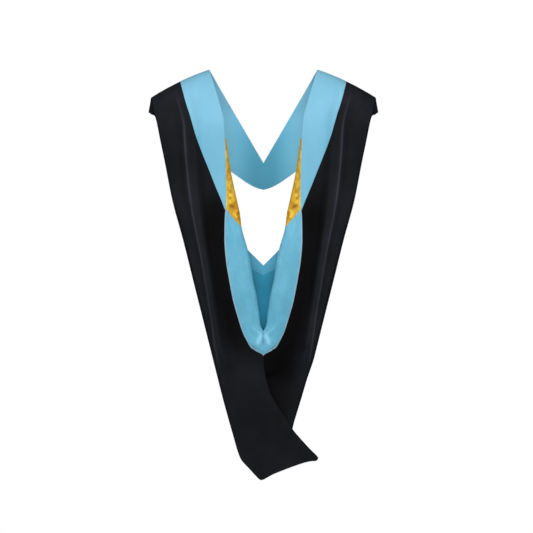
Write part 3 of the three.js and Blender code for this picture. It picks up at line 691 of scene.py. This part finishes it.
# Crumpled gold satin: ridged noise 1 - |noise| at two sizes, and the marked folds.
def goldGrid(side):
    share = np.linspace(0, 1, gold["rows"])
    creaseDrop = mix(gold["top"], goldLength - seamGap, share)
    rollDrop = mix(gold["top"], goldLength + goldSlant - seamGap, share)
    grid = smoothRows(liningRows(creaseDrop, rollDrop), lining["steps"])
    x, z = grid[..., 0], grid[..., 2]
    run = np.arange(grid.shape[1])[None, :] / lining["steps"]
    near = smoothStep((run - 1) / 0.8) * (1 - smoothStep((run - 6) / 2))
    ridged = 1 - np.abs(softNoise(x / 12 + z / 40 + 9, z / 15, 21)) * 1.6
    small = 1 - np.abs(softNoise(x / 5 + z / 30, z / 7 + x / 25, 22)) * 1.6
    crumple = 1.5 * ridged + 0.6 * small
    grid[..., 1] -= near * (crumple + strokes(grid, gold["folds"]) - 1)
    paint = liningPaint(grid, 2.6)
    # Painted shade: dark amber in the listed spots and along the creases of a noise; painted light: lighter
    # on the crumples' ridges and at the glints
    shadeSpots = clamp01(strokes(grid, gold["shadeSpots"]))
    creaseShade = 0.55 * smoothStep((softNoise(x / 6 + 2, z / 8 + x / 20, 24) - 0.25) / 0.5)
    paint["paintedShade"] = np.maximum(0.3 * paint["paintedShade"], near * np.maximum(shadeSpots, creaseShade))
    glintsAndShade = near * (0.4 * strokes(grid, gold["glints"]) - 0.15 * shadeSpots)
    paint["paintedLightAndTone"] = 0.82 + 0.32 * smoothStep((crumple - 0.3) / 2) + glintsAndShade
    return grid, paint


# The gathers of the blue satin in the pinch: start, end and width of each, and how far it stands
# out in millimetres, and how much it is painted lighter and paler as highlight or darker as shade
blue = {
    "upperRows": 80,
    "lowerRows": 90,
    "gathers": {
        "lobe": ((6.5, -667), (13, -682), 6.6),
        "lobeHollow": ((22, -668), (26, -684), 4.5),
        "fold": ((27, -647), (7, -661), 3.0),
        "foldHollow": ((32, -656), (18, -668), 3),
        "centre": ((0, -660), (0, -686), 2.4),
        "foot": ((32, -694), (0, -715), 2.2),
    },
    "height": {"lobe": 4.0, "lobeHollow": -1.8, "fold": 1.5, "foldHollow": -0.8, "centre": -1.2},
    "paintedLightAndTone": {"lobe": 0.37, "fold": 0.1, "centre": -0.16},
    "pale": {"lobe": 0.24, "fold": 0.08},
    "footPale": 0.8,
    "pinchFrom": (640, 20),
    # Spans of drop where the painted light on the roll's rim ends, and the painted shade lower down and the
    # painted light low in the valley begin
    "rimLightEnd": (560, 90),
    "darkFrom": (420, 90),
    "lowFrom": (530, 90),
}


# Blue satin: gentle swells along the roll, and the gathers where the two rolls meet, a bright
# lobe each side of a sunk centre line with a finer fold above it.
def blueGrid(side):
    top = goldLength + goldSlant + seamGap
    rollDrop = np.concatenate([
        np.linspace(top, 600, blue["upperRows"], endpoint=False),
        np.linspace(600, cowlLength + 4, blue["lowerRows"]),
    ])
    share = (rollDrop - top) / (cowlLength - top)
    creaseDrop = mix(goldLength + seamGap, mix(pinchDrop, cowlLength, 0.66), share)
    grid = smoothRows(liningRows(creaseDrop, rollDrop), lining["steps"])
    x, z = grid[..., 0], grid[..., 2]
    run = np.arange(grid.shape[1])[None, :] / lining["steps"]
    near = smoothStep((run - 1) / 1.2) * (1 - smoothStep((run - 6) / 2))
    swells = 1.3 * softNoise(x / 26 + 5, z / 60 + x / 90, 31) + 0.4 * softNoise(x / 9, z / 22, 32)
    marks = {name: stroke(grid, *place) for name, place in blue["gathers"].items()}

    def gathered(shares):
        return sum(share * marks[name] for name, share in shares.items())

    near = np.maximum(near, easeOver(-z, blue["pinchFrom"]) * (run < 7))
    grid[..., 1] -= near * (swells + gathered(blue["height"]))
    paint = liningPaint(grid, 1.8)
    # Painted highlight: the lobes and the fold are painted paler as well as lighter
    pale = np.maximum(blue["footPale"] * marks["foot"] * (run < 7), near * gathered(blue["pale"]))
    paint["edge"] = np.maximum(paint["edge"] * smoothStep((x - 2) / 4), pale)
    # Painted light and shade: lighter on the roll's rim, darker lower down, lighter again low in the
    # valley, over random mottling; the gathers are painted lighter and their centre darker
    rimLight = smoothStep((run - 4.2) / 1.5) * (1 - easeOver(-z, blue["rimLightEnd"]))
    shadeDown = 0.1 * easeOver(-z, blue["darkFrom"])
    mottled = 0.05 * softNoise(x / 13 + 3, z / 17, 41)
    mottled += 0.045 * softNoise(x / 5, z / 8 + x / 11, 42)
    low = 0.5 * easeOver(-z, blue["lowFrom"]) * (run > 12)
    paint["paintedLightAndTone"] = 1 - shadeDown + near * gathered(blue["paintedLightAndTone"]) + 0.05 * rimLight + mottled + low
    return grid, paint


rimShare = 0.03


# Adds a row and a column a small share of a step inside each edge, so that smooth shading stays
# flat there.
def crispRims(grid):
    first, last = mix(grid[:1], grid[1:2], rimShare), mix(grid[-1:], grid[-2:-1], rimShare)
    grid = np.concatenate([grid[:1], first, grid[1:-1], last, grid[-1:]])
    first = mix(grid[:, :1], grid[:, 1:2], rimShare)
    last = mix(grid[:, -1:], grid[:, -2:-1], rimShare)
    return np.concatenate([grid[:, :1], first, grid[:, 1:-1], last, grid[:, -1:]], 1)


plainMarks = {"paintedLightAndTone": 1.0, "edge": 0.0, "paintedShade": 0.0, "fromHem": 99.0}


# A grid of points as one sheet of quads, in metres. Its UV map holds the distances along the
# columns and rows in metres, so that threads keep their size.
def clothMesh(name, grid, side, thickness, material, paint=()):
    marks = {mark: np.full(grid.shape[:2], value) for mark, value in plainMarks.items()}
    marks.update(paint)
    grid = crispRims(grid)
    marks = {mark: crispRims(values) for mark, values in marks.items()}
    rows, columns = grid.shape[:2]
    points = grid * np.array([side, 1.0, 1.0]) / 1000
    index = np.arange(rows * columns).reshape(rows, columns)
    quads = np.stack([index[:-1, :-1], index[1:, :-1], index[1:, 1:], index[:-1, 1:]], -1).reshape(-1, 4)
    if side < 0:
        quads = quads[:, ::-1]
    mesh = bpy.data.meshes.new(name)
    mesh.from_pydata(points.reshape(-1, 3), [], quads)
    alongColumns = np.cumsum(np.linalg.norm(np.diff(points, axis=1, prepend=points[:, :1]), axis=-1), 1)
    alongRows = np.cumsum(np.linalg.norm(np.diff(points, axis=0, prepend=points[:1]), axis=-1), 0)
    uv = np.stack([alongColumns, alongRows], -1).reshape(-1, 2)
    layer = mesh.uv_layers.new(name="cloth")
    layer.data.foreach_set("uv", uv[quads.reshape(-1)].reshape(-1))
    mesh.polygons.foreach_set("use_smooth", np.ones(len(quads), bool))
    marks["fromEnd"] = alongColumns[:, -1:] - alongColumns
    for mark, values in marks.items():
        attribute = mesh.attributes.new(mark, "FLOAT", "POINT")
        attribute.data.foreach_set("value", values.reshape(-1))
    piece = bpy.data.objects.new(name, mesh)
    bpy.context.scene.collection.objects.link(piece)
    mesh.materials.append(material)
    wall = piece.modifiers.new("wall", "SOLIDIFY")
    wall.thickness = thickness / 1000
    wall.offset = 0
    wall.use_even_offset = False
    return piece


# A shader value that can be used in sums: each operator adds one Math node.
class Value:
    def __init__(self, shader, socket):
        self.shader, self.socket = shader, socket

    def math(self, operation, *values):
        return self.shader.add("ShaderNodeMath", {"operation": operation}, dict(enumerate(values)))

    def __add__(self, other):
        return self.math("ADD", self, other)

    def __radd__(self, other):
        return self.math("ADD", other, self)

    def __sub__(self, other):
        return self.math("SUBTRACT", self, other)

    def __rsub__(self, other):
        return self.math("SUBTRACT", other, self)

    def __mul__(self, other):
        return self.math("MULTIPLY", self, other)

    def __rmul__(self, other):
        return self.math("MULTIPLY", other, self)

    def __truediv__(self, other):
        return self.math("DIVIDE", self, other)

    def __rtruediv__(self, other):
        return self.math("DIVIDE", other, self)

    def sine(self):
        return self.math("SINE", self)

    def size(self):
        return self.math("ABSOLUTE", self)

    def smooth(self, start, end):
        settings = {"interpolation_type": "SMOOTHSTEP"}
        return self.shader.add("ShaderNodeMapRange", settings, {0: self, 1: start, 2: end})


class Shader:
    def __init__(self, name):
        self.material = bpy.data.materials.new(name)
        self.material.use_nodes = True
        self.tree = self.material.node_tree
        self.surface = self.tree.nodes["Principled BSDF"]

    def add(self, kind, settings, inputs, output=0):
        node = self.tree.nodes.new(kind)
        for key, value in settings.items():
            setattr(node, key, value)
        for key, value in inputs.items():
            if isinstance(value, Value):
                self.tree.links.new(value.socket, node.inputs[key])
            else:
                node.inputs[key].default_value = value
        return Value(self, node.outputs[output])

    def mixed(self, share, low, high, blend="MIX"):
        settings = {"data_type": "RGBA", "blend_type": blend}
        return self.add("ShaderNodeMix", settings, {0: share, 6: low, 7: high}, 2)

    def mark(self, name):
        return self.add("ShaderNodeAttribute", {"attribute_name": name}, {}, 2)

    def feed(self, name, value):
        if isinstance(value, Value):
            self.tree.links.new(value.socket, self.surface.inputs[name])
        else:
            self.surface.inputs[name].default_value = value


def rgb(red, green, blue):
    linear = [((c / 255 + 0.055) / 1.055) ** 2.4 for c in (red, green, blue)]
    return (*linear, 1.0)


stitchLength = 0.0034


# Woven cloth: threads by sines of the UV distances in metres, slubs and clouds by noise, and a
# row of stitches at a given distance from either edge. The marks tint it: one turns it to its
# painted-shade colour, edge to its pale sewn edge, and the tone mark multiplies in painted light
# and shade along with the cloth's own mottling.
def clothMaterial(name, look):
    s = Shader(name)
    uv = s.add("ShaderNodeUVMap", {"uv_map": "cloth"}, {})
    place = s.add("ShaderNodeTexCoord", {}, {}, 3)
    across = s.add("ShaderNodeSeparateXYZ", {}, {0: uv}, 0)
    along = s.add("ShaderNodeSeparateXYZ", {}, {0: uv}, 1)
    turns = 2 * math.pi / look["thread"]
    weave = (across * turns).sine() * (along * turns).sine()
    clouds = s.add("ShaderNodeTexNoise", {}, {"Vector": place, "Scale": 11.0, "Detail": 4.0})
    slub = s.add("ShaderNodeTexNoise", {}, {"Vector": place, "Scale": 320.0, "Detail": 2.0})
    dash = (along * (2 * math.pi / stitchLength)).sine().smooth(-0.2, 0.2)
    stitch = 0.0
    for distance, place in ((across, look["stitchStart"]), (s.mark("fromEnd"), look["stitchEnd"])):
        if place:
            stitch = stitch + (1 - (distance - place).size().smooth(0.0002, 0.0005)) * dash
    share = (clouds * 0.7 + slub * 0.2 + weave * 0.05).smooth(0.25, 0.7)
    cloth = s.mixed(share, look["dark"], look["light"])
    cloth = s.mixed(stitch * 0.5, cloth, look["threadColour"])
    # Painted shade, eased off in the band just below the hem's V
    pastHem = s.mark("fromHem").smooth(21, 26)
    cloth = s.mixed(s.mark("paintedShade") * (0.6 + 0.4 * pastHem), cloth, look["paintedShade"])
    cloth = s.mixed(s.mark("edge"), cloth, look["edge"])
    # The tone mark multiplies in painted light and shade, and the cloth's own mottling
    s.feed("Base Color", s.mixed(1.0, cloth, s.mark("paintedLightAndTone"), "MULTIPLY"))
    s.feed("Roughness", look["roughness"] + 0.14 * (slub - 0.5))
    height = weave * 0.4 + slub + stitch * 1.5
    bump = {"Strength": look["bump"], "Distance": 0.0002, "Height": height}
    s.feed("Normal", s.add("ShaderNodeBump", {}, bump))
    s.feed("Sheen Weight", look["sheen"])
    s.feed("Sheen Roughness", 0.45)
    s.feed("Sheen Tint", look["sheenTint"])
    s.feed("Specular IOR Level", look["specular"])
    s.feed("Specular Tint", look["shine"])
    s.feed("Anisotropic", look["anisotropic"])
    return s.material


# In each look the third colour is the painted shade, and edge the pale sewn edge, which the blue satin's
# gathers also take as painted highlight
blackCloth = clothMaterial("blackCloth", {
    "dark": rgb(18, 19, 22), "light": rgb(26, 27, 32),
    "paintedShade": rgb(16, 16, 18), "edge": rgb(30, 31, 36), "threadColour": rgb(12, 12, 14),
    "thread": 0.0007, "stitchStart": 0.0018, "stitchEnd": 0.006, "bump": 0.35,
    "sheen": 0.012, "sheenTint": rgb(160, 165, 185),
    "specular": 0.04, "shine": rgb(255, 250, 245), "roughness": 0.62, "anisotropic": 0.0,
})
blueBand = clothMaterial("blueBand", {
    "dark": rgb(122, 186, 213), "light": rgb(134, 197, 223),
    "paintedShade": rgb(94, 180, 214), "edge": rgb(135, 199, 227), "threadColour": rgb(95, 160, 192),
    "thread": 0.0006, "stitchStart": 0.0, "stitchEnd": 0.0018, "bump": 0.25,
    "sheen": 0.04, "sheenTint": rgb(220, 240, 250),
    "specular": 0.3, "shine": rgb(225, 245, 255), "roughness": 0.6, "anisotropic": 0.0,
})
goldSatin = clothMaterial("goldSatin", {
    "dark": rgb(196, 151, 38), "light": rgb(226, 185, 66),
    "paintedShade": rgb(178, 112, 6), "edge": rgb(214, 206, 140), "threadColour": rgb(160, 115, 20),
    "thread": 0.0004, "stitchStart": 0.0, "stitchEnd": 0.006, "bump": 0.15,
    "sheen": 0.03, "sheenTint": rgb(255, 240, 170),
    "specular": 0.35, "shine": rgb(255, 226, 140), "roughness": 0.36, "anisotropic": 0.4,
})
blueSatin = clothMaterial("blueSatin", {
    "dark": rgb(97, 172, 201), "light": rgb(113, 186, 213),
    "paintedShade": rgb(26, 132, 164), "edge": rgb(180, 200, 214), "threadColour": rgb(80, 145, 175),
    "thread": 0.0004, "stitchStart": 0.0, "stitchEnd": 0.006, "bump": 0.15,
    "sheen": 0.03, "sheenTint": rgb(200, 240, 255),
    "specular": 0.25, "shine": rgb(200, 240, 255), "roughness": 0.4, "anisotropic": 0.3,
})
print("scene: materials made")

grids = {
    "trim": (trimGrid, trim["thickness"], blueBand, "blue_band"),
    "shell": (shellGrid, shell["thickness"], blackCloth, "black_cloth"),
    "lining_gold": (goldGrid, lining["thickness"], goldSatin, "gold_satin"),
    "lining_blue": (blueGrid, lining["thickness"], blueSatin, "blue_satin"),
}
pieces = {}
for word, side in (("left", -1), ("right", 1)):
    for kind, (makeGrid, thickness, material, slotName) in grids.items():
        name = kind.split("_")[-1] + word.capitalize()
        grid, paint = makeGrid(side)
        piece = clothMesh(name + "Cloth", grid, side, thickness, material, paint)
        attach(piece, "root")
        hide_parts(f"{kind}_{word}")
        pieces[name] = piece
        cross = np.cross(grid[1:, :-1] - grid[:-1, :-1], grid[:-1, 1:] - grid[:-1, :-1])
        area = float(np.linalg.norm(cross, axis=-1).sum()) / 1e6
        print("scene:", name, grid.shape, "area", round(area, 4), "square metres")

# Flat sizes of each cut, before it was sewn and worn
flatSizes = {
    "shell": ((0.42, 1.05), 0.23, "draped"),
    "trim": ((0.09, 0.7), 0.051, "draped"),
    "gold": ((0.42, 0.23), 0.055, "draped"),
    "blue": ((0.42, 0.38), 0.12, "gathered"),
}
for word in ("Left", "Right"):
    for kind, (flat, area, held) in flatSizes.items():
        rests = [] if kind == "shell" else [pieces["shell" + word]]
        pieces[kind + word]

# Stage: a round pale floor that fades into a white room, soft lights on both sides, and a camera
# far off with a narrow lens, so that the view is nearly flat, as in the photograph.
stage = {"floor": -1.32, "radius": 2.4, "fadeFrom": 1.1, "centre": 0.0001, "middle": (0, 0, -0.45)}


# Rings of the floor: radius * (cos, sin) of the angle.
def floorGrid():
    angle = np.linspace(0, 2 * np.pi, 97)[:, None]
    radius = np.linspace(stage["centre"], stage["radius"], 5)[None, :]
    return stack(radius * np.cos(angle), radius * np.sin(angle), stage["floor"]) * 1000


paper = Shader("paper")
paper.feed("Base Color", (0.9, 0.9, 0.9, 1))
paper.feed("Roughness", 0.9)
spot = paper.add("ShaderNodeTexCoord", {}, {}, 3)
floorX = paper.add("ShaderNodeSeparateXYZ", {}, {0: spot}, 0)
floorY = paper.add("ShaderNodeSeparateXYZ", {}, {0: spot}, 1)
fromMiddle = floorX * floorX + floorY * floorY
paper.feed("Alpha", 1 - fromMiddle.smooth(stage["fadeFrom"] ** 2, stage["radius"] ** 2))
floor = clothMesh("floor", floorGrid(), -1, 1, paper.material)
floor.modifiers.clear()

world = bpy.data.worlds.new("studio")
bpy.context.scene.world = world
world.use_nodes = True
world.node_tree.nodes["Background"].inputs[0].default_value = (1, 1, 1, 1)
world.node_tree.nodes["Background"].inputs[1].default_value = 1.0
world.cycles_visibility.diffuse = False
world.cycles_visibility.glossy = False

# Each light: place, size in metres and power in watts; all face the middle of the hood
lights = {
    "keyLeft": ((-1.7, -3.5, 0.9), 1.5, 50),
    "keyRight": ((1.7, -3.5, 0.9), 1.5, 42),
    "front": ((0.0, -4.6, 0.1), 2.2, 75),
    "top": ((0.0, -0.7, 2.4), 2.0, 35),
    "backLeft": ((-2.6, 2.8, 0.5), 2.0, 60),
    "backRight": ((2.6, 2.8, 0.5), 2.0, 60),
}
for name, (place, size, power) in lights.items():
    light = bpy.data.lights.new(name, "AREA")
    light.size = size
    light.energy = power
    lamp = bpy.data.objects.new(name, light)
    lamp.location = place
    lamp.visible_glossy = not name.startswith("back")
    aimX, aimY, aimZ = np.array(stage["middle"]) - np.array(place)
    tilt = math.atan2(math.hypot(aimX, aimY), -aimZ)
    lamp.rotation_euler = (tilt, 0, math.atan2(aimY, aimX) - math.pi / 2)
    bpy.context.scene.collection.objects.link(lamp)

camera = {"distance": 24.0, "span": 1.3325, "x": 0.0078, "z": -0.4925, "depth": -0.06}
lens = bpy.data.cameras.new("view")
lens.angle = 2 * math.atan(camera["span"] / 2 / camera["distance"])
lens.clip_end = 80
viewer = bpy.data.objects.new("view", lens)
viewer.location = (camera["x"], camera["depth"] - camera["distance"], camera["z"])
viewer.rotation_euler = (math.pi / 2, 0, 0)
bpy.context.scene.collection.objects.link(viewer)
bpy.context.scene.camera = viewer
bpy.context.scene.view_settings.view_transform = "Standard"
print("scene: stage, lights and camera set")
